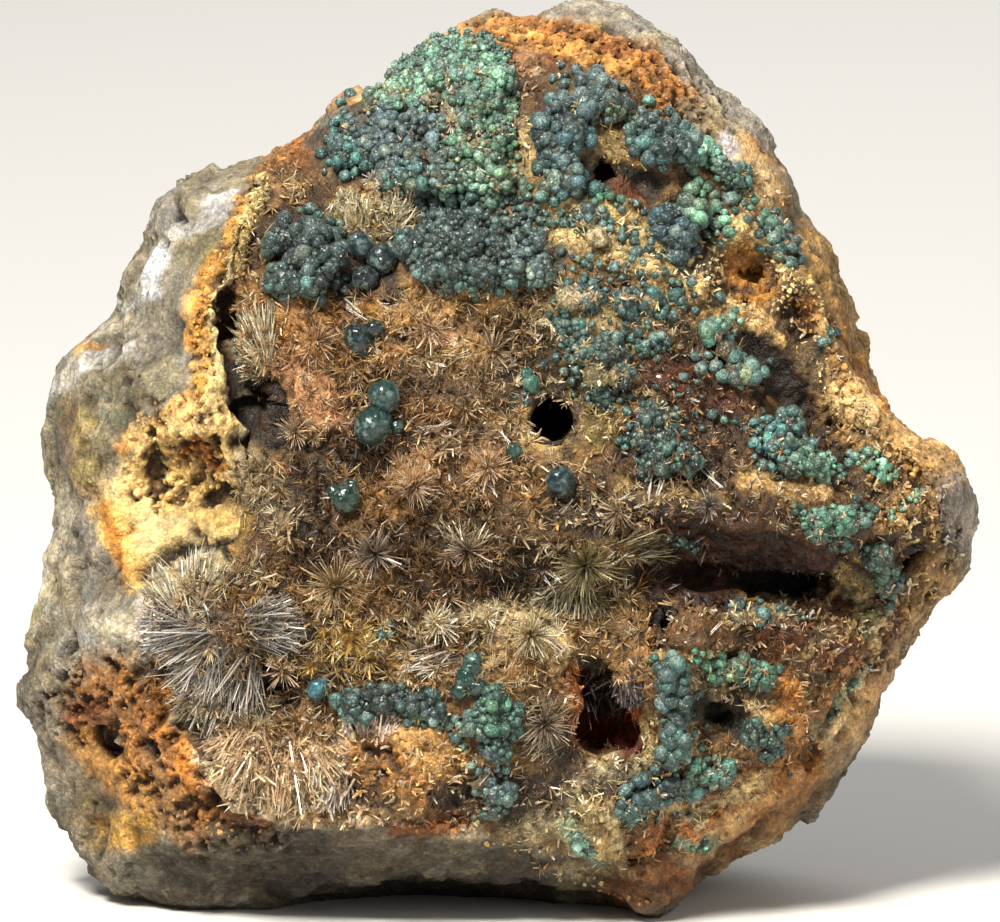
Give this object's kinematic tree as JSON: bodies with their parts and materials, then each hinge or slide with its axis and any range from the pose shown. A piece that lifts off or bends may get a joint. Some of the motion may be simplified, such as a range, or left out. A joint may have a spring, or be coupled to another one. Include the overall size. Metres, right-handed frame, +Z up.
{
  "type": "hemimorphite mineral specimen",
  "caption": "Loose lump of brown and grey rock that stands on a flat base, its hollow front lined with radiating needle crystals and clusters of blue-green balls.",
  "frame": {"origin": "middle of the bounding box, at the height of the flat base", "axes": "+X to the right and -Y towards a viewer who faces the crystals, +Z up from the base"},
  "size_m": [0.0952, 0.0634, 0.0874],
  "materials": {
    "blue_grey_balls": "velvety to silky rounded growths",
    "teal_balls": "velvety to silky rounded growths",
    "dark_balls": "velvety to silky rounded growths",
    "green_balls": "velvety to silky rounded growths",
    "crystals": "glassy brown and cream needles in radiating sprays",
    "rock": "matt broken grey to brown limestone, stained with rust and ochre",
    "light_teal_balls": "velvety to silky rounded growths",
    "slate_balls": "velvety to silky rounded growths",
    "turquoise_balls": "velvety to silky rounded growths"
  },
  "bodies": {
    "root": {"blue_grey_ball_group": "blue_grey_balls", "cavity_side_column": "teal_balls", "centre_ball_trio": "teal_balls", "dark_green_lump": "dark_balls", "dark_lower_bank": "dark_balls", "dark_round_ball": "dark_balls", "dark_upper_ball": "dark_balls", "descending_ball_row": "teal_balls", "green_ball": "green_balls", "groove_ball_group": "teal_balls", "hemimorphite_crust": "crystals", "hole_foot_ball": "teal_balls", "hole_side_ball_group": "teal_balls", "hole_top_ball": "teal_balls", "host_rock": "rock", "ledge_ball_group": "teal_balls", "left_ball_cluster": "teal_balls", "left_middle_ball_field": "teal_balls", "light_teal_ball": "light_teal_balls", "lower_ball_row": "teal_balls", "lower_blue_group": "blue_grey_balls", "lower_green_mass": "green_balls", "lower_right_band": "teal_balls", "middle_ball_group": "teal_balls", "middle_right_ball_group": "teal_balls", "ridge_foot_ball_group": "teal_balls", "right_ball_clump": "teal_balls", "right_edge_ball_group": "teal_balls", "scattered_ball_band": "teal_balls", "slate_ball_pair": "slate_balls", "small_flat_ball": "teal_balls", "tall_lower_column": "teal_balls", "tip_ball_group": "teal_balls", "top_right_turquoise_group": "turquoise_balls", "upper_left_ball_field": "teal_balls", "upper_right_ball_bank": "teal_balls", "valley_green_group": "green_balls"}
  },
  "joints": []
}
